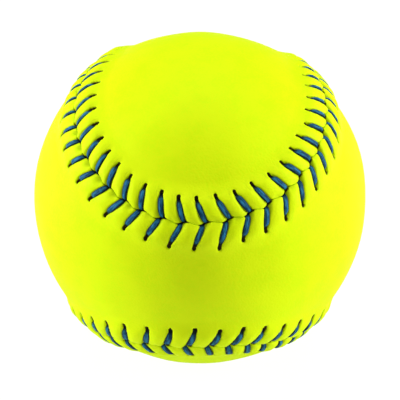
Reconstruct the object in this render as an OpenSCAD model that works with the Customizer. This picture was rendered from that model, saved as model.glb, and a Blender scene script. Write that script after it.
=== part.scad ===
// Softball: a moulded core, a cover of two figure-eight panels, and the two threads of its seam.
// The origin is the middle of the ball and +Z is up. The waist of the left and right panel faces -Y,
// and the waist of the top and bottom panel faces +Y.

/* [Ball] */
// Girth of the ball, over the smooth part of the cover
girth = 304.8; // [279:0.1:308]
// Thickness of the cover
cover_t = 1.5; // [1.2:0.1:2]
// Room for the coat of cement between the core and the cover
cement_t = 0.3; // [0.25:0.05:0.5]

/* [Seam] */
// Number of stitches round each panel
stitches = 92; // [80:4:104]
// How far the seam stands out beyond the thread that runs under it
seam_rise = 0.55; // [0.3:0.05:1]
// Distance from the seam to the highest line beside it
crest_dist = 2; // [1.5:0.1:2.5]
// How far the cover dips from that line to the middle of the seam
edge_drop = 0.6; // [0.3:0.05:0.8]
// How far the swelling reaches past the middle of the stitch holes
swell_past = 3.7; // [3:0.1:5]

/* [Stitching] */
// Width of the flattened thread
thread_w = 1.6; // [1:0.1:1.8]
// Thickness of the flattened thread
thread_t = 0.9; // [0.6:0.05:1]
// Distance from the seam to the middle of a stitch hole
hole_dist = 6.5; // [6:0.1:7.5]
// How far a stitch hole runs on past its thread
hole_spare = 0.5; // [0.3:0.1:1.2]
// How far along the seam a stitch hole lies from its partner on the other panel
hole_stagger = 0.8; // [0:0.1:1.2]
// How far a stitch leans along the seam between its hole and the seam
stitch_lean = 2.2; // [1.6:0.1:2.8]
// Clearance on each side of the thread
thread_clear = 0.2; // [0.15:0.05:0.3]

/* [Hidden] */

$fn = 96;

// Colours
core_colour = [0.93, 0.9, 0.82];
cover_colour = [0.88, 1, 0.1];
thread_colour = [0.12, 0.4, 0.68];

// Sizes that follow from the ones above
ball_r = girth / (2 * PI);
core_r = ball_r - cover_t - cement_t;
seam_gap = thread_t + 2 * thread_clear;
seam_h = seam_gap + seam_rise;
hole_w = thread_w + 2 * thread_clear;
hole_l = seam_gap + hole_spare;
hole_near = hole_dist - hole_l / 2;
hole_far = hole_dist + hole_l / 2;
rise_dist = hole_near + thread_clear + thread_t / 2;
thread_lift = thread_clear + thread_t / 2;
thread_stagger = thread_w + thread_clear;
swell_dist = hole_dist + swell_past;

// The seam is the tennis-ball curve x = a cos t + b cos 3t, y = a sin t - b sin 3t, z = 2 sqrt(ab) sin 2t
// on a ball of radius 1, where a + b = 1. The larger b is, the narrower are the waists.
third_share = 0.295;
first_share = 1 - third_share;
swing_share = 2 * sqrt(first_share * third_share);
// Its squared speed is steady_share + wave_share cos 4t, so a small wave in t makes the stitches even
steady_share = pow(first_share, 2) + 9 * pow(third_share, 2) + 8 * first_share * third_share;
wave_share = 2 * first_share * third_share;
pitch = 2 * PI * ball_r * sqrt(steady_share) / stitches;
// Angle of the middle of the seam's front stretch, where the stitches are counted from
front_angle = 45;
// How far the stitches crowd towards the ends of the seam's four alike stretches, as a share of the pitch
crowd_share = 0.1;

// Shape of the swelling, and of the smooth part of a panel
swell_power_share = 1.6;
lobe_start = 70;
midline_power_share = 2.1;
field_rows = 4;

// The two panels, as signs of the distance across the seam
left_right = 1;
top_bottom = -1;

// Places on the ball

function unit(v) = v / norm(v);
function in_degrees(radians) = radians * 180 / PI;
function seam_angle(station) =
    let (u = front_angle + 360 * station / stitches)
    u - (in_degrees(wave_share / (8 * steady_share)) + crowd_share * 360 / stitches) * sin(4 * u);
function turned(p) = [(p.x - p.y) / sqrt(2), -p.z, (p.x + p.y) / sqrt(2)];
function seam_dir(t) = turned([
    first_share * cos(t) + third_share * cos(3 * t),
    first_share * sin(t) - third_share * sin(3 * t),
    swing_share * sin(2 * t)
]);
function along_dir(t) = unit(turned([
    -first_share * sin(t) - 3 * third_share * sin(3 * t),
    first_share * cos(t) - 3 * third_share * cos(3 * t),
    2 * swing_share * cos(2 * t)
]));

// A point beside the seam: the station counts stitches, and height is over the smooth cover
function beside(station, across, along, height) =
    let (
        t = seam_angle(station),
        out = seam_dir(t),
        ahead = along_dir(t),
        angle = in_degrees(across / ball_r)
    )
    (ball_r + height) * unit(out * cos(angle) + cross(out, ahead) * sin(angle) + ahead * along / ball_r);

// The holes of a stitch lie a little behind and a little ahead of its station
function hole_station(station, side) = station + side * hole_stagger / 2 / pitch;

// Height of the cover's outside at a distance from the seam
function swell(dist) =
    dist < crest_dist
        ? seam_h - edge_drop * pow(1 - dist / crest_dist, 2)
        : seam_h * pow(cos(90 * pow(min((dist - crest_dist) / (swell_dist - crest_dist), 1),
            swell_power_share)), 2);

// Cover panels

// The end of a panel's first lobe
function lobe_station(side) = side == left_right ? -stitches / 4 : 0;
// Steps from the end of that lobe, alike on both sides of the panel's midline
function midline_step(side, station) =
    let (step = (station - lobe_station(side) + 2 * stitches) % stitches)
    min(step, stitches - step);
function midline_dir(side, station) =
    let (
        way_share = midline_step(side, station) / (stitches / 4) - 1,
        from_waist_share = 1 - pow(1 - abs(way_share), midline_power_share),
        turn = 180 + sign(way_share) * from_waist_share * (180 - lobe_start)
    )
    side == left_right ? [sin(turn), cos(turn), 0] : [0, -cos(turn), sin(turn)];

// The points of one skin: rows beside the seam with two columns for each stitch, rows with one column
// for each stitch on the smooth part, and the midline, which the two sides of the panel share
band_dists = [seam_gap / 2, crest_dist, hole_near, hole_far, swell_dist];
band_rows = len(band_dists);
hole_row = search(hole_near, band_dists)[0];
columns = 2 * stitches;
midline_first = band_rows * columns + (field_rows - 1) * stitches;
skin_points = midline_first + stitches / 2 + 1;
function band_at(row, column) = row * columns + column % columns;
function field_at(row, station) = band_rows * columns + (row - 1) * stitches + station % stitches;
function field_or_midline_at(side, row, station) =
    row < field_rows ? field_at(row, station) : midline_first + midline_step(side, station);

function band_point(side, dist, column, depth) =
    beside(hole_station(floor(column / 2), side), side * dist, (column % 2 - 1 / 2) * hole_w,
        swell(dist) - depth);
function field_point(side, row, station, depth) =
    let (
        from = unit(beside(station, side * swell_dist, 0, 0)),
        to = midline_dir(side, station),
        angle = acos(from * to),
        share = row / field_rows
    )
    (ball_r - depth) * (from * sin((1 - share) * angle) + to * sin(share * angle)) / sin(angle);
function skin(side, depth) = [
    for (dist = band_dists, column = [0:columns - 1]) band_point(side, dist, column, depth),
    for (row = [1:field_rows - 1], station = [0:stitches - 1]) field_point(side, row, station, depth),
    for (step = [0:stitches / 2]) (ball_r - depth) * midline_dir(side, lobe_station(side) + step)
];

function two_faces(a, b, c, d) = [[a, b, c], [a, c, d]];
function skin_faces(side) = [
    for (row = [0:band_rows - 2], column = [0:columns - 1])
        if (row != hole_row || column % 2 == 1)
            each two_faces(band_at(row, column), band_at(row, column + 1),
                band_at(row + 1, column + 1), band_at(row + 1, column)),
    for (station = [0:stitches - 1])
        [band_at(band_rows - 1, 2 * station), band_at(band_rows - 1, 2 * station + 1), field_at(1, station)],
    for (station = [0:stitches - 1])
        each two_faces(band_at(band_rows - 1, 2 * station + 1), band_at(band_rows - 1, 2 * station + 2),
            field_at(1, station + 1), field_at(1, station)),
    for (row = [1:field_rows - 1], station = [0:stitches - 1])
        each two_faces(field_at(row, station), field_at(row, station + 1),
            field_or_midline_at(side, row + 1, station + 1), field_or_midline_at(side, row + 1, station))
];
// Walls between the outer and the inner skin: along the seam, and round each stitch hole
function wall(loop) = [
    for (k = [0:len(loop) - 1])
        let (a = loop[k], b = loop[(k + 1) % len(loop)])
        each two_faces(b, a, a + skin_points, b + skin_points)
];
function hole_loop(station) = [
    band_at(hole_row, 2 * station), band_at(hole_row + 1, 2 * station),
    band_at(hole_row + 1, 2 * station + 1), band_at(hole_row, 2 * station + 1)
];
function backwards(face) = [for (k = [len(face) - 1:-1:0]) face[k]];

module cover_panel(side) {
    outside = skin_faces(side);
    faces = concat(
        outside,
        [for (face = outside) backwards([for (corner = face) corner + skin_points])],
        wall([for (column = [0:columns - 1]) band_at(0, column)]),
        [for (station = [0:stitches - 1]) each wall(hole_loop(station))]
    );
    color(cover_colour)
        polyhedron(
            points = concat(skin(side, 0), skin(side, cover_t)),
            faces = side == top_bottom ? faces : [for (face = faces) backwards(face)]
        );
}

// Threads

// A thread takes a stitch at every station, on the two panels by turns, and works back round the seam.
// Each stitch comes up its hole, crosses the crest, goes down the seam, and runs on under the other panel.
// A step of the route is a station, a distance across the seam, and a height over the smooth cover.
function seam_station(station, side) = station - (stitch_lean - side * thread_stagger / 2) / pitch;
function above(dist) = swell(dist) + thread_lift;
function below(dist) = swell(dist) - cover_t - thread_lift;
function stitch_steps(station, side) =
    let (
        up = hole_station(station, side),
        down = seam_station(station, side),
        crest_share = crest_dist / rise_dist
    )
    [
        [up, side * rise_dist, below(rise_dist)],
        [up, side * rise_dist, above(hole_near)],
        [up * crest_share + down * (1 - crest_share), side * crest_dist, above(crest_dist)],
        [down, 0, above(seam_gap / 2)],
        [down, 0, below(seam_gap / 2)]
    ];
function side_at(k, first_side) = k % 2 == 0 ? first_side : -first_side;
function tail_step(first_side) =
    let (station = 1, side = side_at(stitches - 1, first_side))
    [
        (seam_station(station, side) + hole_station(station - 1, -side)) / 2,
        -side * rise_dist / 2,
        below(rise_dist)
    ];
function thread_route(first_side) = [
    for (k = [0:stitches - 1]) each stitch_steps(stitches - k, side_at(k, first_side)),
    tail_step(first_side)
];

// Corners of the flat thread as shares of half its width and half its thickness. A ring is mitred where
// the thread turns, so that it keeps its thickness, and its width lies along the seam.
corner_shares = [[1, 0], [1 / 2, 1], [-1 / 2, 1], [-1, 0], [-1 / 2, -1], [1 / 2, -1]];
corners = len(corner_shares);
function thread_ring(from, at, to, seam_way) =
    let (
        way_in = unit(at - from),
        ahead = unit(way_in + unit(to - at)),
        wide = unit(seam_way - ahead * (seam_way * ahead)),
        thick = cross(ahead, wide) / (way_in * ahead)
    )
    [for (share = corner_shares) at + wide * share.x * thread_w / 2 + thick * share.y * thread_t / 2];

module thread(first_side) {
    route = thread_route(first_side);
    path = [for (step = route) beside(step[0], step[1], 0, step[2])];
    last = len(path) - 1;
    rings = [
        for (k = [0:last])
            let (
                from = k > 0 ? path[k - 1] : 2 * path[0] - path[1],
                to = k < last ? path[k + 1] : 2 * path[last] - path[last - 1]
            )
            each thread_ring(from, path[k], to, along_dir(seam_angle(route[k][0])))
    ];
    color(thread_colour)
        polyhedron(
            points = rings,
            faces = concat(
                [for (k = [0:last - 1], corner = [0:corners - 1])
                    let (next = (corner + 1) % corners)
                    each two_faces(k * corners + corner, (k + 1) * corners + corner,
                        (k + 1) * corners + next, k * corners + next)],
                [[for (corner = [0:corners - 1]) corner]],
                [[for (corner = [corners - 1:-1:0]) last * corners + corner]]
            )
        );
}

// Core

module core() {
    color(core_colour) sphere(r = core_r);
}

module cover_left_right() {
    cover_panel(left_right);
}

module cover_top_bottom() {
    cover_panel(top_bottom);
}

module thread_1() {
    thread(left_right);
}

module thread_2() {
    thread(top_bottom);
}

core();
cover_left_right();
cover_top_bottom();
thread_1();
thread_2();
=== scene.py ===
# A softball: two yellow-green cover panels sewn to each other with blue thread, round a foam core.
import math

import bpy
import numpy as np
from mathutils import Matrix, Vector


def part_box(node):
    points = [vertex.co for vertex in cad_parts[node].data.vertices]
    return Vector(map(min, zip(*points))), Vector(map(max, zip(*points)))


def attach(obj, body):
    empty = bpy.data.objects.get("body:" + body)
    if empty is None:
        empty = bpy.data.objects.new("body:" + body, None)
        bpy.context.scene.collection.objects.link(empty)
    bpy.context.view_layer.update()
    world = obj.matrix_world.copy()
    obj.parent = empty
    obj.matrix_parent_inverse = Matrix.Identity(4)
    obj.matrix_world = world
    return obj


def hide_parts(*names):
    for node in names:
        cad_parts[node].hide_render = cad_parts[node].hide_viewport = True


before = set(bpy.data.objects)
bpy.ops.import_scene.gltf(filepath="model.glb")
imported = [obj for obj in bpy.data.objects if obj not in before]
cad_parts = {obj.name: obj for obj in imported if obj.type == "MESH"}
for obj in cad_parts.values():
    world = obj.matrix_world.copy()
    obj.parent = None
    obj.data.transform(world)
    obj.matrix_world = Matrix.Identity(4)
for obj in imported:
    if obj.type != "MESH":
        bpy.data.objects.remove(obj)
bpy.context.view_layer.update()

MM = 0.001
PI = math.pi

# The ball, and the side of the seam that each cover panel lies on
BALL_R = (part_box("cover_left_right")[1].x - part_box("cover_left_right")[0].x) / 2
COVER_T = 1.5 * MM
LEFT_RIGHT = 1
TOP_BOTTOM = -1
SIDES = (LEFT_RIGHT, TOP_BOTTOM)

# The seam is a tennis-ball curve, x = a cos t + b cos 3t, y = a sin t - b sin 3t, z = 2 sqrt(ab) sin 2t.
# Places on it are counted in stations, one for each stitch, from the waist at the front.
STITCHES = 92
FRONT_ANGLE = PI / 4
THIRD_SHARE = 0.295
FIRST_SHARE = 1 - THIRD_SHARE
SWING_SHARE = 2 * math.sqrt(FIRST_SHARE * THIRD_SHARE)
STEADY_SHARE = FIRST_SHARE**2 + 9 * THIRD_SHARE**2 + 8 * FIRST_SHARE * THIRD_SHARE
WAVE_SHARE = 2 * FIRST_SHARE * THIRD_SHARE
CROWD_SHARE = 0.1
PITCH = 2 * PI * BALL_R * math.sqrt(STEADY_SHARE) / STITCHES

# The swelling of the cover along the seam
SEAM_H = 1.45 * MM
CREST_DIST = 2 * MM
EDGE_DROP = 0.3 * MM
SWELL_DIST = 11.2 * MM
SWELL_POWER = 1.6
SWELL_FOOT_POWER = 3

# The stitches: each is a V, with a leg on either panel, from a hole down to the seam
HOLE_DIST = 6.5 * MM
PHASE = 0.5 * MM
LEAN = 2.1 * MM
LEAN_POWER = 1.05
HALF_STAGGER = 0.5 * MM
STAGGER_WAVE = 0.45 * MM
STAGGER_WAVES = 4
BLEND_START_SHARE = 0.25
LEG_DISTS = np.array([0, 0.8, 2, 3.4, 4.4, 5.0, 5.5, 6.2]) * MM
LEG_WIDTHS = {
    LEFT_RIGHT: np.array([1.25, 1.25, 1.25, 1.3, 1.3, 1.2, 1.0, 0.85]) * MM,
    TOP_BOTTOM: np.array([1.25, 1.35, 1.5, 1.65, 1.68, 1.55, 1.25, 0.95]) * MM,
}


def unit(v):
    """Vectors of length 1 that point the same way."""
    return v / np.linalg.norm(v, axis=-1, keepdims=True)


def smooth(x):
    """0 below 0, 1 above 1, and an even S between them."""
    x = np.clip(x, 0, 1)
    return x * x * (3 - 2 * x)


def fade(x, start, width):
    """1 up to the start, and an even fall to 0 over the width."""
    return 1 - smooth((x - start) / width)


def bump(x):
    """1 at 0, and an even fall to 0 at 1 on either side."""
    return 1 - smooth(np.abs(x))


# What sets this ball's stitches apart from an even row: pairs of a station and a value. The value changes
# evenly between the stations, is a share in the tables named so, and is in millimetres in the others.

# How much wider the legs are
WIDER_SHARES = {
    LEFT_RIGHT: [
        (-14, -0.1), (-10, 0), (-7, 0.3), (-4, 0.35), (0, 0.22), (5, 0.25), (8, 0.1), (11, -0.05), (14, 0),
        (26, 0.1), (37, 0.4), (43, 0.5), (56, 0.45),
    ],
    TOP_BOTTOM: [
        (-14, -0.15), (-8, -0.1), (-4, 0), (6, 0), (9, -0.05), (12, -0.1), (18, 0.1), (37, 0.1), (43, 0.15),
        (56, 0.1),
    ],
}

# How much nearer to the seam the holes are
SHORTER = {
    LEFT_RIGHT: [
        (-20, 0.2), (-14, 0.6), (-10, 0.6), (-8, 0.7), (-5, 0.4), (-3, 0.2), (0, 0), (3, 0.1), (5, 0.4),
        (8, 0.7), (10, 0.2), (14, 0), (40, 0), (43, -0.1), (46, 0), (50, 0.1), (52, -0.1), (56, 0),
    ],
    TOP_BOTTOM: [
        (-20, 0.3), (-12, 0.3), (-8, 0.2), (-5, 0.1), (-2, 0.1), (0, 0.1), (2, 0.15), (4, 0.8), (6, 0.5),
        (8, 0.1), (10, -0.2), (12, 0), (18, 0),
    ],
}

# How much further along the seam the stitches are
AHEAD = {
    LEFT_RIGHT: [
        (-18, 0), (-14, -1), (-11, -1.3), (-10, -0.5), (-8, -0.3), (-5, -0.1), (0, 0), (4, 0), (6, 0.3),
        (8, 0), (9, -0.5), (11, -0.4), (13, 0), (41, -0.4), (43, -0.1), (44, 0.4), (47, 0.5), (49, 0.2),
        (52, 0.5), (56, 0),
    ],
    TOP_BOTTOM: [
        (-16, 0), (-10, -0.1), (-7, -0.3), (-6, -0.7), (-4, -0.6), (-3, -0.1), (-1, 0.4), (0, 0.7), (2, 0.2),
        (5, -0.2), (7, -0.7), (8, -0.6), (9, 0), (12, 0.5), (15, 0.3), (18, 0), (40, -0.5), (42, -0.4),
        (43, -0.1), (45, 0.5), (47, 0.9), (49, 0.9), (50, 0.3), (51, 1), (53, 0.8), (58, 0),
    ],
}

# How much more the legs lean
MORE_LEAN = {
    LEFT_RIGHT: [
        (-18, 0), (-14, -1.5), (-11, -1.8), (-10, -0.5), (-9, 0), (-6, 0.4), (-4, 0.1), (-1, 0.3), (0, 0),
        (3, 0.1), (5, 0.8), (7, 0.4), (9, -0.3), (11, -0.9), (13, -0.5), (16, 0), (43, 0), (45, -0.3),
        (47, -0.4), (49, -0.8), (50, -1), (51, -1.5), (52, -2.2), (54, -2.2), (60, 0),
    ],
    TOP_BOTTOM: [
        (-18, 0), (-13, 0.6), (-10, 0.8), (-7, 0.8), (-5, 0.2), (-3, 0.6), (0, 0.6), (2, 0), (5, -0.4),
        (8, -0.6), (10, 0), (11, -1.4), (14, -1.5), (18, 0),
    ],
}

# How much lower the panels' edges lie between the stitches
LOWER = {
    LEFT_RIGHT: [(-20, 0.1), (-14, 0.1), (-5, 0), (0, 0), (6, 0.45), (11, 0.35), (18, 0.1), (26, 0)],
    TOP_BOTTOM: [(0, 0)],
}

# The long open holes: half their width, and how much they narrow towards their outer end
SLOT_R = {
    LEFT_RIGHT: [
        (-20, 0.4), (-14, 0.4), (-5, 0.48), (6, 0.5), (18, 0.45), (26, 0.45), (37, 0.5), (43, 0.62),
        (56, 0.75),
    ],
    TOP_BOTTOM: [
        (-20, 0.36), (-14, 0.37), (-5, 0.42), (0, 0.46), (4, 0.56), (7, 0.88), (12, 0.84), (18, 0.7),
        (26, 0.5), (56, 0.45),
    ],
}
TAPER_SHARES = {
    LEFT_RIGHT: [(0, 0)],
    TOP_BOTTOM: [(1, 0), (4, 0.2), (6, 0.45), (13, 0.45), (18, 0.25), (26, 0)],
}

# Width of the slit where the edges of the panels stand open in a V
SLIT_W = [(-20, 0.3), (-12, 0.4), (-8, 0.5), (-3, 0.4), (0, 0.22), (4, 0.2), (40, 0.2), (56, 0.25)]

# How far the seam strays from its curve, towards the top and bottom panel
STRAY = [
    (-18, 0.4), (-13, 1.2), (-11, 0.8), (-10, 0.2), (-8, 0), (-5, 0), (-2, 0.2), (1, 0), (7, 0), (9, 0.2),
    (11, 0.8), (12, 1.5), (13, 2.1), (15, 2.3), (19, 1.2), (24, 0), (44, 0), (46, -0.4), (48, -0.9),
    (50, -1), (53, -1.8), (56, -1.2), (62, 0),
]


def by_station(pairs, station):
    """The value of a table at any stations."""
    stations, values = np.transpose(pairs)
    return np.interp(station, stations, values, period=STITCHES)


def of_each(pairs):
    """The value of a table at each stitch."""
    return by_station(pairs, np.arange(STITCHES))


# Small differences between one stitch and the next, the same for the leather and the thread
SEED = 12
LEAN_SPREAD = 0.14 * MM
HOLE_SPREAD = 0.16 * MM
WIDTH_SPREAD = 0.05
EDGE_LOW_MOST = 0.5 * MM
rng = np.random.default_rng(SEED)
lean_off = {side: rng.normal(0, LEAN_SPREAD, STITCHES) + of_each(MORE_LEAN[side]) * MM for side in SIDES}
hole_off = {side: rng.normal(0, HOLE_SPREAD, STITCHES) - of_each(SHORTER[side]) * MM for side in SIDES}
width_share = {
    side: (1 + rng.normal(0, WIDTH_SPREAD, STITCHES)) * (1 + of_each(WIDER_SHARES[side])) for side in SIDES
}
edge_low = {side: rng.uniform(0, EDGE_LOW_MOST, STITCHES) + of_each(LOWER[side]) * MM for side in SIDES}
ahead_off = {side: of_each(AHEAD[side]) * MM for side in SIDES}
slot_r = {side: of_each(SLOT_R[side]) * MM for side in SIDES}
slot_taper = {side: of_each(TAPER_SHARES[side]) for side in SIDES}

# Smooth unevenness of the leather: waves of these lengths in millimetres, in every direction
NOISE_WAVES = 14
NOISE_RISE = 0.035 * MM
NOISE_LENGTHS = (9, 30)
noise_ways = unit(rng.normal(size=(NOISE_WAVES, 3)))
noise_turns = 2 * PI / (rng.uniform(*NOISE_LENGTHS, NOISE_WAVES) * MM)
noise_starts = rng.uniform(0, 2 * PI, NOISE_WAVES)


def unevenness(points):
    """How far the leather stands out by its unevenness."""
    waves = points @ (noise_ways * noise_turns[:, None]).T + noise_starts
    return NOISE_RISE * np.sin(waves).sum(axis=-1)


# Places beside the seam


def turned(x, y, z):
    """The seam's own axes, turned so that the first panel's waist faces the front."""
    return np.stack([(x - y) / math.sqrt(2), -z, (x + y) / math.sqrt(2)], axis=-1)


def seam_frame(station):
    """Directions on the seam: out of the ball, ahead along it, and aside to the left and right panel."""
    u = FRONT_ANGLE + 2 * PI * np.asarray(station, float) / STITCHES
    t = u - (WAVE_SHARE / (8 * STEADY_SHARE) + CROWD_SHARE * 2 * PI / STITCHES) * np.sin(4 * u)
    out = turned(
        FIRST_SHARE * np.cos(t) + THIRD_SHARE * np.cos(3 * t),
        FIRST_SHARE * np.sin(t) - THIRD_SHARE * np.sin(3 * t),
        SWING_SHARE * np.sin(2 * t),
    )
    ahead = unit(turned(
        -FIRST_SHARE * np.sin(t) - 3 * THIRD_SHARE * np.sin(3 * t),
        FIRST_SHARE * np.cos(t) - 3 * THIRD_SHARE * np.cos(3 * t),
        2 * SWING_SHARE * np.cos(2 * t),
    ))
    return out, ahead, np.cross(out, ahead)


def beside_dir(station, across):
    """Direction from the middle of the ball to a place beside the seam, across it by a signed distance."""
    out, _, aside = seam_frame(station)
    stray = by_station(STRAY, station) * MM
    angle = ((np.asarray(across) + TOP_BOTTOM * stray) / BALL_R)[..., None]
    return out * np.cos(angle) + aside * np.sin(angle)


def swell(dist):
    """Height of the cover at a distance from the seam, without the marks of the stitches."""
    inner = SEAM_H - EDGE_DROP * (1 - dist / CREST_DIST) ** 2
    way = np.clip((dist - CREST_DIST) / (SWELL_DIST - CREST_DIST), 0, 1)
    outer = SEAM_H * np.cos(PI / 2 * way**SWELL_POWER) ** SWELL_FOOT_POWER
    return np.where(dist < CREST_DIST, inner, outer)


def of_stitch(values, q):
    """A value that belongs to the stitches: even over each one, and blended half way to the next."""
    lower = np.floor(q).astype(int)
    share = smooth((q - lower - BLEND_START_SHARE) / (1 - 2 * BLEND_START_SHARE))
    return values[lower % STITCHES] * (1 - share) + values[(lower + 1) % STITCHES] * share


def stagger(q):
    """Half the way along the seam between the two holes of a stitch. It comes and goes round the seam."""
    return HALF_STAGGER - STAGGER_WAVE * np.sin(STAGGER_WAVES * 2 * PI * q / STITCHES)


def leg_station(side, q, dist):
    """Where the leg of stitch q lies along the seam, at a distance from the seam."""
    hole_dist = HOLE_DIST + of_stitch(hole_off[side], q)
    fall = np.clip(1 - dist / hole_dist, 0, 1) ** LEAN_POWER
    lean = LEAN + of_stitch(lean_off[side], q)
    level = fade(dist, HOLE_DIST, SWELL_DIST - HOLE_DIST)
    apart = stagger(q) * (1 - fall) + HALF_STAGGER * fall
    shift = (of_stitch(ahead_off[side], q) - PHASE) * level
    return q + (side * apart * level - lean * fall + shift) / PITCH


def leg_width(side, q, dist):
    """Width of the leg of stitch q at a distance from the seam."""
    return np.interp(dist, LEG_DISTS, LEG_WIDTHS[side]) * of_stitch(width_share[side], q)


# The line where the edges of the panels meet: scalloped, and open between the two legs of each stitch
SCALLOP = 0.38 * MM
EDGE_FADE = 3.5 * MM
EDGE_GAP = 0.02 * MM
SLIT_HALF_L = 1.1 * MM
SLIT_END_L = 0.8 * MM
PUSHED = 0.22 * MM
PUSHED_HALF_W = 1.0 * MM


def scallop(station):
    """How far the line of the seam swings towards the left and right panel."""
    own = sum(by_station(MORE_LEAN[side], station) - by_station(AHEAD[side], station) for side in SIDES)
    return SCALLOP * np.sin(2 * PI * (station + (LEAN + PHASE + own / 2 * MM) / PITCH))


def slit_share(side, x):
    """1 where the edges of the panels stand open between the legs of a stitch, 0 where they touch."""
    return fade(np.abs(x + side * HALF_STAGGER), SLIT_HALF_L, SLIT_END_L)


def edge_dist(side, q, x):
    """Distance of the panel's edge from the middle of the seam, x along it from the leg of stitch q."""
    station = leg_station(side, q, np.zeros_like(q))
    slit = by_station(SLIT_W, station) / 2 * MM
    opening = EDGE_GAP + slit * slit_share(side, x) + PUSHED * bump(x / PUSHED_HALF_W)
    return side * scallop(station) + opening


# How the leather stands up between the stitches
PILLOW_H = 0.4 * MM
PILLOW_POWER = 1.7
PILLOW_DIST = 4.6 * MM
PILLOW_FADE = 3.4 * MM

# How a leg presses into the leather, more so on the side where the other leg meets it
LEG_END = 5.4 * MM
VALLEY_D = 0.5 * MM
VALLEY_FLAT_SHARE = 0.8
VALLEY_W = 0.3 * MM
VALLEY_MORE_W = 0.9 * MM
VALLEY_FADE = 1.3 * MM
MEET_DIST = 0.5 * MM
MEET_FADE = 3.5 * MM

# How the thread pulls the edge down where it dives, and how low the edge lies between the stitches
PRESSED_D = 0.5 * MM
PRESSED_HALF_W = 1.0 * MM
PRESSED_FADE = 1.1 * MM
LOW_HALF_W = 1.6 * MM
LOW_FADE = 2.4 * MM

# The holes, each in a dimple
POCKET_D = 1.3 * MM
POCKET_START = 5.2 * MM
POCKET_END = 6.95 * MM
RIM_INSIDE = 0.13 * MM
RIM_W = 0.2 * MM
DIMPLE_D = 0.16 * MM
DIMPLE_HALF_W = 0.9 * MM
DIMPLE_DIST = 6.8 * MM
DIMPLE_HALF_L = 1.1 * MM

# Where shade is painted on the leather, beside the legs and where its edge lies low, and where it is creased
SHADE_W = 0.3 * MM
SHADE_MORE_W = 1.5 * MM
SHADE_FADE = 0.8 * MM
LOW_SHADE_D = 0.6 * MM
LOW_SHADE_MOST = 0.9
CREASE_ASIDE = 1.1 * MM
CREASE_HALF_W = 1.5 * MM
CREASE_DIST = 6.2 * MM
CREASE_HALF_L = 2.8 * MM


def meeting_share(side, x, dist):
    """1 near the seam on the side of a leg where the other leg meets it, 0 far off and on its other side."""
    return np.where(-side * x > 0, fade(dist, MEET_DIST, MEET_FADE), 0)


def hole_share(side, q, x, dist):
    """1 in the open hole of a stitch, 0 outside it."""
    from_hole = dist - of_stitch(hole_off[side], q)
    along = np.clip(from_hole, POCKET_START, POCKET_END)
    taper = 1 - of_stitch(slot_taper[side], q) * (along - POCKET_START) / (POCKET_END - POCKET_START)
    from_slot = np.hypot(x, from_hole - along) - of_stitch(slot_r[side], q) * taper
    return fade(from_slot, -RIM_INSIDE, RIM_W)


def stitch_marks(side, q, x, half_step, dist):
    """Rise of the leather over its even swelling, and its marks: hole, painted shade and crease, from 0 to
    1.

    x is the distance along the seam from the leg of stitch q, and half_step the way to the middle of the
    gap between two legs."""
    half_w = leg_width(side, q, dist) / 2
    meeting = meeting_share(side, x, dist)
    away = np.clip((np.abs(x) - half_w) / (half_step - half_w), 0, 1)
    pillow = PILLOW_H * fade(dist, PILLOW_DIST, PILLOW_FADE) * (1 - (1 - away) ** PILLOW_POWER)
    valley_w = VALLEY_W + VALLEY_MORE_W * meeting
    valley = VALLEY_D * fade(np.abs(x), VALLEY_FLAT_SHARE * half_w, valley_w)
    valley = valley * fade(dist, LEG_END, VALLEY_FADE)
    pressed = PRESSED_D * bump(x / PRESSED_HALF_W) * fade(dist, 0, PRESSED_FADE)
    low = of_stitch(edge_low[side], q + 0.5) * bump((np.abs(x) - half_step) / LOW_HALF_W)
    low = low * fade(dist, 0, LOW_FADE)
    dimple = DIMPLE_D * np.exp(-((x / DIMPLE_HALF_W) ** 2) - ((dist - DIMPLE_DIST) / DIMPLE_HALF_L) ** 2)
    hole = hole_share(side, q, x, dist)
    rise = pillow - valley - pressed - low - dimple - POCKET_D * hole

    # Painted shade: beside each leg, wider where the other leg meets it, and where the edge lies low under
    # its neighbour
    shade_w = SHADE_W + SHADE_MORE_W * meeting
    beside_leg = smooth((half_w + shade_w - np.abs(x)) / shade_w) * fade(dist, LEG_END, SHADE_FADE)
    shade = np.maximum(beside_leg, np.clip(low / LOW_SHADE_D, 0, LOW_SHADE_MOST))
    crease_side = bump((-side * x - CREASE_ASIDE) / CREASE_HALF_W)
    crease = crease_side * bump((dist - CREASE_DIST) / CREASE_HALF_L)
    return rise, hole, shade, crease


# Meshes


def closed(grid):
    """A grid whose last column is followed by its first."""
    return np.hstack([grid, grid[:, :1]])


def corners(grid):
    """The four corners of each cell of a grid, in order round the cell."""
    around = [grid[:-1, :-1], grid[:-1, 1:], grid[1:, 1:], grid[1:, :-1]]
    return np.stack(around, axis=2).reshape(-1, 4, *grid.shape[2:])


def mesh_object(name, points, faces, uvs, material):
    """A smooth mesh. The map holds a pair for each corner of each face."""
    mesh = bpy.data.meshes.new(name)
    mesh.from_pydata(points.tolist(), [], faces.tolist())
    mesh.polygons.foreach_set("use_smooth", np.ones(len(faces), bool))
    layer = mesh.uv_layers.new(name="sewn")
    layer.data.foreach_set("uv", uvs.astype(np.float32).ravel())
    mesh.materials.append(material)
    mesh.update()
    obj = bpy.data.objects.new(name, mesh)
    bpy.context.scene.collection.objects.link(obj)
    return obj


def add_mark(obj, name, values):
    """Keeps a value at each point of a mesh, for its material."""
    attribute = obj.data.attributes.new(name, "FLOAT", "POINT")
    attribute.data.foreach_set("value", values.astype(np.float32).ravel())


# Cover panels

# Columns of points: their places along the seam from the leg of the nearest stitch
COLUMN_OFFSETS = np.array([
    -2.84, -2.25, -1.75, -1.3, -0.98, -0.76, -0.56, -0.38, 0, 0.38, 0.56, 0.76, 0.98, 1.3, 1.75, 2.25,
]) * MM
COLUMNS_EACH = len(COLUMN_OFFSETS)
COLUMNS = STITCHES * COLUMNS_EACH

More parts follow.
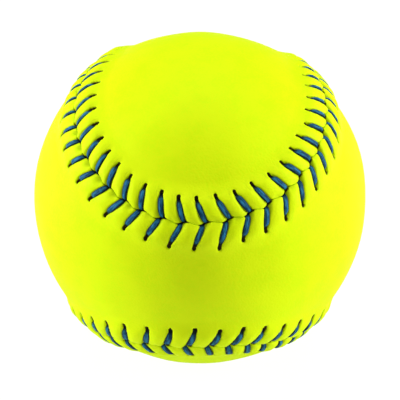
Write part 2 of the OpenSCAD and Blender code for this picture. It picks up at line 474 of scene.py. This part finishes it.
# Rows of points, from the inside of the panel round its edge to the holes and the plain leather beyond
INNER_SHARES = (0.35, 0.7)
INNER_DISTS = (SWELL_DIST, 6.5 * MM, 2 * MM)
WALL_DROPS = (COVER_T, 0.95 * MM)
EDGE_R = 0.3 * MM
EDGE_TURNS = np.radians([0, 20, 40, 60, 78])
BAND_DISTS = np.concatenate([
    np.arange(0.4, 4.9, 0.34), np.arange(5.0, 7.5, 0.15), np.linspace(7.5, SWELL_DIST / MM, 9),
]) * MM
FIELD_ROWS = 10

# Beyond this distance the columns even out, so that they don't crowd together on the plain leather
CROWDED_DIST = 7.2 * MM

# How far to either side, in stations, the spacing along a row is measured
STATION_STEP = 0.02

# The midline of a panel, from lobe to lobe
LOBE_START = math.radians(110)
MIDLINE_LINEAR_SHARE = 0.15
MIDLINE_POWER = 2.3

# What a panel's mesh keeps for the leather, and how much painted shade its edge gets where the panels touch
MARKS = ("hole", "shade", "crease", "edge")
CLOSED_SHADE = 0.3


def column_stations():
    """Stations of the columns, even ones and ones that crowd together beside each leg."""
    even = np.arange(COLUMNS) / COLUMNS_EACH
    place = np.arange(COLUMNS) + COLUMNS_EACH // 2
    return even, place // COLUMNS_EACH + COLUMN_OFFSETS[place % COLUMNS_EACH] / PITCH


def panel_midline(side):
    """Where each column ends on the midline of its panel: its step along it, and its direction."""
    lobe = -COLUMNS // 4 if side == LEFT_RIGHT else 0
    step = (np.arange(COLUMNS) - lobe) % COLUMNS
    step = np.minimum(step, COLUMNS - step)
    way = step / (COLUMNS / 4) - 1
    away = 1 - np.abs(way)
    run = MIDLINE_LINEAR_SHARE * away + (1 - MIDLINE_LINEAR_SHARE) * away**MIDLINE_POWER
    turn = PI + np.sign(way) * (LOBE_START - LOBE_START * run)
    zero = np.zeros_like(turn)
    if side == LEFT_RIGHT:
        return step, np.stack([np.sin(turn), np.cos(turn), zero], axis=-1)
    return step, np.stack([zero, -np.cos(turn), np.sin(turn)], axis=-1)


def band_row(side, even, q, dist):
    """Directions of one row beside the seam, with each column's distance from its leg and half a step."""
    q_here = q + (even - q) * smooth((dist - CROWDED_DIST) / (SWELL_DIST - CROWDED_DIST))
    station = leg_station(side, q_here, np.full_like(q, dist))
    across = np.full_like(q, side * dist)
    step = beside_dir(station + STATION_STEP, across) - beside_dir(station - STATION_STEP, across)
    stretch = np.linalg.norm(step, axis=-1) * BALL_R / (2 * STATION_STEP * PITCH)
    x = (q_here - np.round(q_here)) * PITCH * stretch
    edge = edge_dist(side, q, (q - np.round(q)) * PITCH)
    real_dist = dist + edge * fade(dist, 0, EDGE_FADE)
    return beside_dir(station, side * real_dist), x, PITCH * stretch / 2


def panel_rows(side, even, q, midline):
    """All rows of a panel: their points, distances from the seam, and marks."""
    points, dists, marks = [], [], []
    start = beside_dir(even, np.full_like(q, side * SWELL_DIST))

    def add_row(directions, height, dist, hole=0, shade=0, crease=0, edge=0):
        points.append(directions * (BALL_R + height)[:, None])
        dists.append(np.full_like(q, dist))
        marks.append([np.broadcast_to(mark, q.shape) for mark in (hole, shade, crease, edge)])

    def add_outer_row(dist, drop=0, edge=0):
        directions, x, half_step = band_row(side, even, q, dist)
        dist_at = np.full_like(q, dist)
        rise, hole, shade, crease = stitch_marks(side, q, x, half_step, dist_at)
        # The edge's painted shade, fainter where the panels touch than in the open slit
        edge = edge * (CLOSED_SHADE + (1 - CLOSED_SHADE) * slit_share(side, x))
        add_row(directions, swell(dist_at) + rise - drop, dist, hole, shade, crease, edge)

    for share in INNER_SHARES:
        directions = unit(midline * (1 - share) + start * share)
        add_row(directions, np.full_like(q, -COVER_T), SWELL_DIST, edge=1)
    for dist in INNER_DISTS:
        directions, *_ = band_row(side, even, q, dist)
        add_row(directions, swell(np.full_like(q, dist)) - COVER_T, dist, edge=1)
    for drop in WALL_DROPS:
        add_outer_row(0, drop, edge=1)
    for turn in EDGE_TURNS:
        edge = 1 - turn / (PI / 2)
        add_outer_row(EDGE_R * (1 - math.cos(turn)), EDGE_R * (1 - math.sin(turn)), edge)
    for dist in BAND_DISTS:
        add_outer_row(dist)
    angle = np.arccos(np.clip((start * midline).sum(axis=-1), -1, 1))[:, None]
    for share in np.arange(1, FIELD_ROWS) / FIELD_ROWS:
        directions = (start * np.sin((1 - share) * angle) + midline * np.sin(share * angle)) / np.sin(angle)
        add_row(directions, np.zeros_like(q), SWELL_DIST + share * BALL_R * angle.mean())
    return points, dists, marks


def panel(name, side, material):
    """One figure-eight panel of the cover, as a closed skin."""
    even, q = column_stations()
    step, midline = panel_midline(side)
    rows, dists, marks = panel_rows(side, even, q, midline)

    # The outer and the inner midline, shared by the halves of the panel
    middles = COLUMNS // 2 + 1
    middle = midline[[np.argmax(step == k) for k in range(middles)]]
    rings = np.concatenate(rows)
    points = np.concatenate([rings, middle * BALL_R, middle * (BALL_R - COVER_T)])
    points = points + unit(points) * unevenness(points)[:, None]

    # The faces of one panel run round the other way, so that both panels face outward
    outer_row = len(rings) + step
    inner_row = outer_row + middles
    grid = closed(np.vstack([inner_row, np.arange(len(rings)).reshape(-1, COLUMNS), outer_row]))
    faces = corners(grid)[:, ::side]

    # The map counts stitches one way and millimetres from the seam the other way
    across = closed(np.vstack([dists[0], dists, dists[-1]]) / MM)
    along = np.broadcast_to(np.append(q, STITCHES), across.shape)
    uvs = corners(np.stack([along, across], axis=-1))[:, ::side]

    obj = mesh_object(name, points, faces, uvs, material)
    for mark, values in zip(MARKS, np.moveaxis(np.array(marks), 1, 0)):
        add_mark(obj, mark, np.concatenate([values.ravel(), np.zeros(2 * middles)]))
    return obj


# Threads

# One leg, from its hole over the leather and down the seam: distance from the seam, height over the
# swelling, and thickness
LEG_STEPS = np.array([
    (6.3, -2.4, 0.8),
    (6.2, -1.8, 0.75),
    (5.9, -1.3, 0.7),
    (5.3, -0.75, 0.72),
    (4.7, -0.32, 0.78),
    (4.0, -0.12, 0.84),
    (3.2, -0.1, 0.84),
    (2.3, -0.1, 0.84),
    (1.5, -0.14, 0.82),
    (0.85, -0.3, 0.8),
    (0.42, -0.7, 0.78),
    (0.2, -1.4, 0.75),
    (-0.3, -2.2, 0.8),
]) * MM
SUNK = {LEFT_RIGHT: 0.1 * MM, TOP_BOTTOM: 0}
HOLE_SHIFT_START = 4 * MM
HOLE_SHIFT_RUN = 2 * MM
THREAD_CORNERS = 16
ROUNDINGS = 2
CUT_SHARE = 0.25
FLAT_POWER = 0.9
PLIES = 3
PLY_RISE = 0.045
PLY_PITCH = 9 * MM


def thread_steps(first_side):
    """The route of one thread: rows of place, direction along the seam, width, thickness and depth.

    A thread goes backwards round the seam, with a leg on one panel and the next leg on the other."""
    dist, lift, thick = LEG_STEPS.T
    outer_dist = np.maximum(dist, 0)
    rows = []
    for k in range(STITCHES):
        side = first_side if k % 2 == 0 else -first_side
        q = np.full_like(dist, STITCHES - k)
        shift = of_stitch(hole_off[side], q) * smooth((dist - HOLE_SHIFT_START) / HOLE_SHIFT_RUN)
        where = leg_station(side, q, outer_dist)
        height = swell(outer_dist) + lift - SUNK[side]
        across = side * (dist + shift) + scallop(where) * fade(dist, 0, EDGE_FADE)
        place = (BALL_R + height)[:, None] * beside_dir(where, across)
        _, ahead, _ = seam_frame(where)
        rows.append(np.column_stack([place, ahead, leg_width(side, q, dist), thick, -lift / MM]))
    return np.concatenate(rows)


def rounded(steps):
    """Cuts the corners of a closed route, so that it runs smoothly."""
    for _ in range(ROUNDINGS):
        after = np.roll(steps, -1, axis=0)
        cut = [(1 - CUT_SHARE) * steps + CUT_SHARE * after, CUT_SHARE * steps + (1 - CUT_SHARE) * after]
        steps = np.stack(cut, axis=1).reshape(-1, steps.shape[1])
    return steps


def thread(name, first_side, material):
    """One unbroken flattened thread, all round the seam."""
    steps = rounded(thread_steps(first_side))
    place = steps[:, :3]
    ahead = unit(steps[:, 3:6])
    wide, thick, depth = steps[:, 6:].T
    onward = unit(np.roll(place, -1, axis=0) - np.roll(place, 1, axis=0))
    sideways = unit(ahead - onward * (ahead * onward).sum(axis=-1, keepdims=True))
    upward = np.cross(onward, sideways)
    run = np.cumsum(np.linalg.norm(place - np.roll(place, 1, axis=0), axis=-1))

    turns = 2 * PI * np.arange(THREAD_CORNERS) / THREAD_CORNERS
    ply = 1 + PLY_RISE * np.cos(PLIES * turns[None, :] + 2 * PI * run[:, None] / PLY_PITCH)
    flat = np.sign(np.cos(turns)) * np.abs(np.cos(turns)) ** FLAT_POWER
    rings = (
        place[:, None]
        + sideways[:, None] * (flat * ply * wide[:, None] / 2)[..., None]
        + upward[:, None] * (np.sin(turns) * ply * thick[:, None] / 2)[..., None]
    )
    grid = np.arange(len(rings) * THREAD_CORNERS).reshape(-1, THREAD_CORNERS)
    faces = corners(closed(np.vstack([grid, grid[:1]])))

    # The map counts turns round the thread one way and millimetres along it the other way
    along = np.append(run, run[-1] + run[0])[:, None] / MM
    round_it = np.arange(THREAD_CORNERS + 1)[None, :] / THREAD_CORNERS
    uvs = corners(np.stack(np.broadcast_arrays(round_it, along), axis=-1))

    obj = mesh_object(name, rings.reshape(-1, 3), faces, uvs, material)
    # How deep each ring lies under the leather, for painted shade where the thread sinks
    add_mark(obj, "depth", np.broadcast_to(depth[:, None], grid.shape))
    # How far round to its side each ring's point lies, for painted shade at the thread's sides
    add_mark(obj, "rim", np.broadcast_to(np.abs(np.cos(turns)), grid.shape))
    return obj


# Materials

# Sockets of the node that mixes two colours
MIX_SHARE = 0
MIX_FIRST = 6
MIX_SECOND = 7
MIX_RESULT = 2

# How deep fine relief is at full strength
RELIEF_D = 0.15 * MM


class Wire:
    """The output of a node. Arithmetic on it adds Math nodes."""

    def __init__(self, tree, output=None):
        self.tree = tree
        self.output = output

    def node(self, kind, settings=(), inputs=(), output=0):
        """Adds a node: its settings first, then the values or wires of its sockets."""
        made = self.tree.nodes.new(kind)
        for name, value in dict(settings).items():
            setattr(made, name, value)
        for name, value in dict(inputs).items():
            if isinstance(value, Wire):
                self.tree.links.new(value.output, made.inputs[name])
            else:
                made.inputs[name].default_value = value
        return Wire(self.tree, made.outputs[output])

    def math(self, operation, *values):
        """A Math node on some values or wires."""
        return self.node("ShaderNodeMath", {"operation": operation}, dict(enumerate(values)))

    def __add__(self, other):
        return self.math("ADD", self, other)

    def __radd__(self, other):
        return self.math("ADD", other, self)

    def __sub__(self, other):
        return self.math("SUBTRACT", self, other)

    def __rsub__(self, other):
        return self.math("SUBTRACT", other, self)

    def __mul__(self, other):
        return self.math("MULTIPLY", self, other)

    def __rmul__(self, other):
        return self.math("MULTIPLY", other, self)

    def __pow__(self, other):
        return self.math("POWER", self, other)

    def __abs__(self):
        return self.math("ABSOLUTE", self)

    def spread(self, low, high):
        """Low where this wire is 0, and high where it is 1."""
        return low + self * (high - low)

    def between(self, low, high):
        """0 at low, 1 at high, and an even S between them."""
        return self.node(
            "ShaderNodeMapRange", {"interpolation_type": "SMOOTHSTEP"},
            {"Value": self, "From Min": low, "From Max": high},
        )

    def mix(self, first, second):
        """A colour: the first where this wire is 0, and the second where it is 1."""
        sockets = {MIX_SHARE: self, MIX_FIRST: first, MIX_SECOND: second}
        return self.node("ShaderNodeMix", {"data_type": "RGBA"}, sockets, MIX_RESULT)

    def mark(self, name):
        """A value that the mesh keeps at its points."""
        return self.node("ShaderNodeAttribute", {"attribute_name": name}, (), "Fac")

    def place(self):
        """Place on the object, in metres."""
        return self.node("ShaderNodeTexCoord", output="Object")

    def noise(self, place, scale, detail):
        """Soft noise, with so many changes to each unit of the place."""
        return self.node("ShaderNodeTexNoise", (), {"Vector": place, "Scale": scale, "Detail": detail})

    def streaks(self, changes, detail):
        """Noise on the sewn map, with so many changes to each unit of it one way and the other."""
        sewn = self.node("ShaderNodeUVMap", {"uv_map": "sewn"})
        way = self.node("ShaderNodeVectorMath", {"operation": "MULTIPLY"}, {0: sewn, 1: (*changes, 1)})
        return self.noise(way, scale=1, detail=detail)

    def relief(self, height, strength):
        """Fine relief, for a shader's normal."""
        sockets = {"Height": height, "Strength": strength, "Distance": RELIEF_D}
        return self.node("ShaderNodeBump", (), sockets)


def new_material(name):
    """A material, with its principled shader and a wire to start from."""
    material = bpy.data.materials.new(name)
    material.use_nodes = True
    nodes = material.node_tree.nodes
    return material, nodes["Principled BSDF"], Wire(material.node_tree)


def join(wire, shader, socket):
    """Joins a wire to a socket of a shader."""
    wire.tree.links.new(wire.output, shader.inputs[socket])


WHITE = (1, 1, 1, 1)

# The leather: its colours, four of them painted shade, and how strongly two of these show
LEATHER_DEEP = (0.71, 0.96, 0.002, 1)
LEATHER_LIGHT = (0.77, 0.99, 0.004, 1)
LEATHER_SHADED = (0.12, 0.24, 0.002, 1)
LEATHER_CREASE_SHADE = (0.3, 0.38, 0.002, 1)
LEATHER_GROOVE_SHADE = (0.06, 0.08, 0.002, 1)
LEATHER_HOLE_AND_SLIT_SHADE = (0.06, 0.045, 0.014, 1)
SHADED_SHARE = 0.55
CREASE_SHADE_SHARE = 0.3

# Its grain, in changes to the metre, and its creases, in changes to a stitch and to a millimetre
MOTTLE_SCALE = 160
PEBBLE_SCALE = 1700
PEBBLE_SMOOTHNESS = 0.6
PORE_SCALE = 3600
CREASE_CHANGES = (14, 0.16)
CREASE_NARROWING = 14

# Where the mottling, and the painted shade of the holes and the slit, pass from one colour to the next
MOTTLE_SHARE = 0.7
LEATHER_TONES = (0.3, 0.6)
HOLE_RIM = (0.08, 0.4)
SLIT_RIM = (0.5, 0.95)

# How it takes the light: a faint glow in its own colour is painted light, standing in for its fluorescence
LEATHER_GLOW = 0.08
LEATHER_GLOSS = 0.05
LEATHER_ROUGHNESS = (0.5, 0.62)
LEATHER_RELIEF = 0.3
PORE_RELIEF_SHARE = 0.4
CREASE_RELIEF_SHARE = 1.2


def cover_leather():
    """Bright synthetic leather with a fine pebble, with painted shade in the stitch holes, the slit, the
    seam's groove, the creases and beside the thread.
    """
    material, shader, start = new_material("cover_leather")
    place = start.place()
    mottle = start.noise(place, scale=MOTTLE_SCALE, detail=4)
    pebble = start.node(
        "ShaderNodeTexVoronoi", {"feature": "SMOOTH_F1"},
        {"Vector": place, "Scale": PEBBLE_SCALE, "Smoothness": PEBBLE_SMOOTHNESS},
    )
    pores = start.noise(place, scale=PORE_SCALE, detail=2)
    from_line = abs(start.streaks(CREASE_CHANGES, detail=2) - 0.5) * CREASE_NARROWING
    creases = start.mark("crease") * (1 - from_line.between(0, 1))
    edge = start.mark("edge")

    tone = (mottle * MOTTLE_SHARE + pebble * (1 - MOTTLE_SHARE)).between(*LEATHER_TONES)
    colour = tone.mix(LEATHER_DEEP, LEATHER_LIGHT)
    # Painted shade beside the thread and under a higher edge
    colour = (start.mark("shade") ** 2 * SHADED_SHARE).mix(colour, LEATHER_SHADED)
    # Painted shade in the creases
    colour = (creases * CREASE_SHADE_SHARE).mix(colour, LEATHER_CREASE_SHADE)
    # Painted shade along the panels' edges and in the seam's groove
    colour = edge.between(0, 1).mix(colour, LEATHER_GROOVE_SHADE)
    # Painted shade in the stitch holes and the open slit
    dark = start.math("MAXIMUM", start.mark("hole").between(*HOLE_RIM), edge.between(*SLIT_RIM))
    colour = dark.mix(colour, LEATHER_HOLE_AND_SLIT_SHADE)
    join(colour, shader, "Base Color")
    # The same colours, painted shade included, also glow faintly: painted light standing in for fluorescence
    join(colour, shader, "Emission Color")
    shader.inputs["Emission Strength"].default_value = LEATHER_GLOW
    shader.inputs["Specular IOR Level"].default_value = LEATHER_GLOSS
    join(mottle.spread(*LEATHER_ROUGHNESS), shader, "Roughness")
    height = pebble + pores * PORE_RELIEF_SHARE - creases * CREASE_RELIEF_SHARE
    join(start.relief(height, LEATHER_RELIEF), shader, "Normal")
    return material


# The thread: its colours, two of them painted shade, and how strongly the worn one shows
THREAD_DARK = (0.001, 0.05, 0.12, 1)
THREAD_BLUE = (0.022, 0.21, 0.43, 1)
THREAD_WORN = (0.02, 0.32, 0.55, 1)
THREAD_SIDE_SHADE = (0, 0.022, 0.045, 1)
THREAD_SUNK_SHADE = (0.005, 0.017, 0.028, 1)
WORN_SHARE = 0.35

# Its fibres and strands, in changes to one turn round it and to a millimetre, and its wear to the metre
FIBRE_CHANGES = (26, 0.9)
STRAND_CHANGES = (9, 0.3)
WEAR_SCALE = 900

# Where the streaks, the wear, and the painted shade at its sides and where it sinks pass from one colour to
# the next
STRAND_SHARE = 0.65
THREAD_TONES = (0.4, 0.6)
WEAR_TONES = (0.5, 0.75)
SIDE_SHADE_START_END = (0.35, 0.85)
SUNK_SHADE_START_END = (0.25, 0.9)

# How it takes the light
THREAD_GLOSS = 0.15
THREAD_ROUGHNESS = (0.45, 0.7)
THREAD_RELIEF = 0.9
STRAND_RELIEF_SHARE = 2


def waxed_thread():
    """Flat blue thread, waxed, with its fibres showing as streaks along it, and painted shade at its sides
    and where it sinks into the leather.
    """
    material, shader, start = new_material("waxed_thread")
    fibres = start.streaks(FIBRE_CHANGES, detail=3)
    strands = start.streaks(STRAND_CHANGES, detail=1)
    wear = start.noise(start.place(), scale=WEAR_SCALE, detail=3)

    tone = (strands * STRAND_SHARE + fibres * (1 - STRAND_SHARE)).between(*THREAD_TONES)
    colour = tone.mix(THREAD_DARK, THREAD_BLUE)
    colour = (wear.between(*WEAR_TONES) * WORN_SHARE).mix(colour, THREAD_WORN)
    # Painted shade at the thread's sides
    colour = start.mark("rim").between(*SIDE_SHADE_START_END).mix(colour, THREAD_SIDE_SHADE)
    # Painted shade where the thread sinks into the holes and the seam
    colour = start.mark("depth").between(*SUNK_SHADE_START_END).mix(colour, THREAD_SUNK_SHADE)
    join(colour, shader, "Base Color")
    shader.inputs["Specular IOR Level"].default_value = THREAD_GLOSS
    join(fibres.spread(*THREAD_ROUGHNESS), shader, "Roughness")
    join(start.relief(fibres + strands * STRAND_RELIEF_SHARE, THREAD_RELIEF), shader, "Normal")
    return material


# The foam of the core: its colours, and its grain in changes to the metre
FOAM_DEEP = (0.80, 0.74, 0.60, 1)
FOAM_LIGHT = (0.88, 0.84, 0.72, 1)
FOAM_TONE_SCALE = 90
FOAM_CELL_SCALE = 1400
FOAM_TONES = (0.3, 0.7)
FOAM_ROUGHNESS = (0.7, 0.85)
FOAM_RELIEF = 0.5


def core_foam():
    """Pale moulded foam with fine closed cells."""
    material, shader, start = new_material("core_foam")
    place = start.place()
    cells = start.node("ShaderNodeTexVoronoi", (), {"Vector": place, "Scale": FOAM_CELL_SCALE})
    tone = start.noise(place, scale=FOAM_TONE_SCALE, detail=3)
    join(tone.between(*FOAM_TONES).mix(FOAM_DEEP, FOAM_LIGHT), shader, "Base Color")
    join(tone.spread(*FOAM_ROUGHNESS), shader, "Roughness")
    join(start.relief(cells, FOAM_RELIEF), shader, "Normal")
    return material


# The studio floor: its finish, and how much of an even glow the camera sees in place of its shadow
FLOOR_WHITE = (0.9, 0.9, 0.9, 1)
FLOOR_ROUGHNESS = 0.9
FLOOR_GLOW = 1.12
FLOOR_GLOW_SHARE = 0.84


def pale_floor():
    """A white floor that the camera sees evenly lit, with a faint shadow."""
    material, shader, start = new_material("pale_floor")
    shader.inputs["Base Color"].default_value = FLOOR_WHITE
    shader.inputs["Roughness"].default_value = FLOOR_ROUGHNESS
    shader.inputs["Specular IOR Level"].default_value = 0
    seen = start.node("ShaderNodeLightPath", output="Is Camera Ray")
    glow = start.node("ShaderNodeEmission", (), {"Color": WHITE, "Strength": FLOOR_GLOW})
    lit = Wire(start.tree, shader.outputs[0])
    both = start.node("ShaderNodeMixShader", (), {0: seen * FLOOR_GLOW_SHARE, 1: lit, 2: glow})
    join(both, material.node_tree.nodes["Material Output"], "Surface")
    return material


# Camera

PHOTO_PX = 400
FOCAL_PX = 1553.6
BALL_MIDDLE_ABOVE_PX = 2.3
CAMERA_TURN = math.radians(1.66)
CAMERA_RISE = math.radians(32.34)
CAMERA_ROLL = math.radians(0.8)
CAMERA_RADII = 9.41
SENSOR_W = 36


def add_camera():
    """The photograph's view of the ball."""
    back = Vector((
        math.sin(CAMERA_TURN) * math.cos(CAMERA_RISE),
        -math.cos(CAMERA_TURN) * math.cos(CAMERA_RISE),
        math.sin(CAMERA_RISE),
    ))
    level = Vector((math.cos(CAMERA_TURN), math.sin(CAMERA_TURN), 0))
    steep = back.cross(level)
    right = math.cos(CAMERA_ROLL) * level + math.sin(CAMERA_ROLL) * steep
    up = back.cross(right)
    away = CAMERA_RADII * BALL_R
    data = bpy.data.cameras.new("camera")
    data.sensor_width = SENSOR_W
    data.lens = SENSOR_W * FOCAL_PX / PHOTO_PX
    camera = bpy.data.objects.new("camera", data)
    camera.matrix_world = Matrix.Translation(
        back * away - up * (BALL_MIDDLE_ABOVE_PX / FOCAL_PX * away)
    ) @ Matrix((right, up, back)).transposed().to_4x4()
    bpy.context.scene.collection.objects.link(camera)
    bpy.context.scene.camera = camera


# Studio, in metres and watts

FLOOR_HALF_W = 4
SIDE_LAMP_AWAY = 1.0
SIDE_LAMP_UP = 0.32
SIDE_LAMP_W = 0.3
SIDE_LAMP_H = 0.6
SIDE_LAMP_WATTS = 8.9
TOP_LAMP_PLACE = (0, 0.25, 1.3)
TOP_LAMP_W = 1.1
TOP_LAMP_WATTS = 8.3
ROOM_LIGHT = 0.18


def softbox(name, place, width, height, watts):
    """A large soft lamp that faces the ball."""
    data = bpy.data.lights.new(name, "AREA")
    data.shape = "RECTANGLE"
    data.size = width
    data.size_y = height
    data.energy = watts
    lamp = bpy.data.objects.new(name, data)
    lamp.location = place
    lamp.rotation_mode = "QUATERNION"
    lamp.rotation_quaternion = (-Vector(place)).to_track_quat("-Z", "Y")
    bpy.context.scene.collection.objects.link(lamp)


def studio_floor():
    """A level floor that the ball rests on."""
    ways = ((-1, -1), (1, -1), (1, 1), (-1, 1))
    mesh = bpy.data.meshes.new("floor")
    mesh.from_pydata([(x * FLOOR_HALF_W, y * FLOOR_HALF_W, -BALL_R) for x, y in ways], [], [(0, 1, 2, 3)])
    mesh.materials.append(pale_floor())
    floor = bpy.data.objects.new("floor", mesh)
    bpy.context.scene.collection.objects.link(floor)


def room_light():
    """Even light from all round, and a white backdrop for the camera."""
    world = bpy.data.worlds.new("studio")
    world.use_nodes = True
    start = Wire(world.node_tree)
    seen = start.node("ShaderNodeLightPath", output="Is Camera Ray")
    light = start.node("ShaderNodeBackground", (), {"Color": WHITE, "Strength": ROOM_LIGHT})
    backdrop = start.node("ShaderNodeBackground", (), {"Color": WHITE, "Strength": 1})
    both = start.node("ShaderNodeMixShader", (), {0: seen, 1: light, 2: backdrop})
    join(both, world.node_tree.nodes["World Output"], "Surface")
    bpy.context.scene.world = world
    bpy.context.scene.view_settings.view_transform = "Standard"


def studio():
    """A white studio: a pale floor, a lamp on each side and one above."""
    studio_floor()
    for name, way in (("left_softbox", -1), ("right_softbox", 1)):
        place = (way * SIDE_LAMP_AWAY, 0, SIDE_LAMP_UP)
        softbox(name, place, SIDE_LAMP_W, SIDE_LAMP_H, SIDE_LAMP_WATTS)
    softbox("top_softbox", TOP_LAMP_PLACE, TOP_LAMP_W, TOP_LAMP_W, TOP_LAMP_WATTS)
    room_light()


# The ball


def build():
    """The camera, the studio and the ball's five pieces."""
    add_camera()
    studio()
    leather = cover_leather()
    blue = waxed_thread()
    foam = core_foam()
    for name, side in (("cover_left_right", LEFT_RIGHT), ("cover_top_bottom", TOP_BOTTOM)):
        piece = panel("sewn_" + name, side, leather)
        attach(piece, "root")
        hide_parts(name)
    for name, first_side in (("thread_1", LEFT_RIGHT), ("thread_2", TOP_BOTTOM)):
        piece = thread("sewn_" + name, first_side, blue)
        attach(piece, "root")
        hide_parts(name)
    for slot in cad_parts["core"].material_slots:
        slot.material = foam


build()
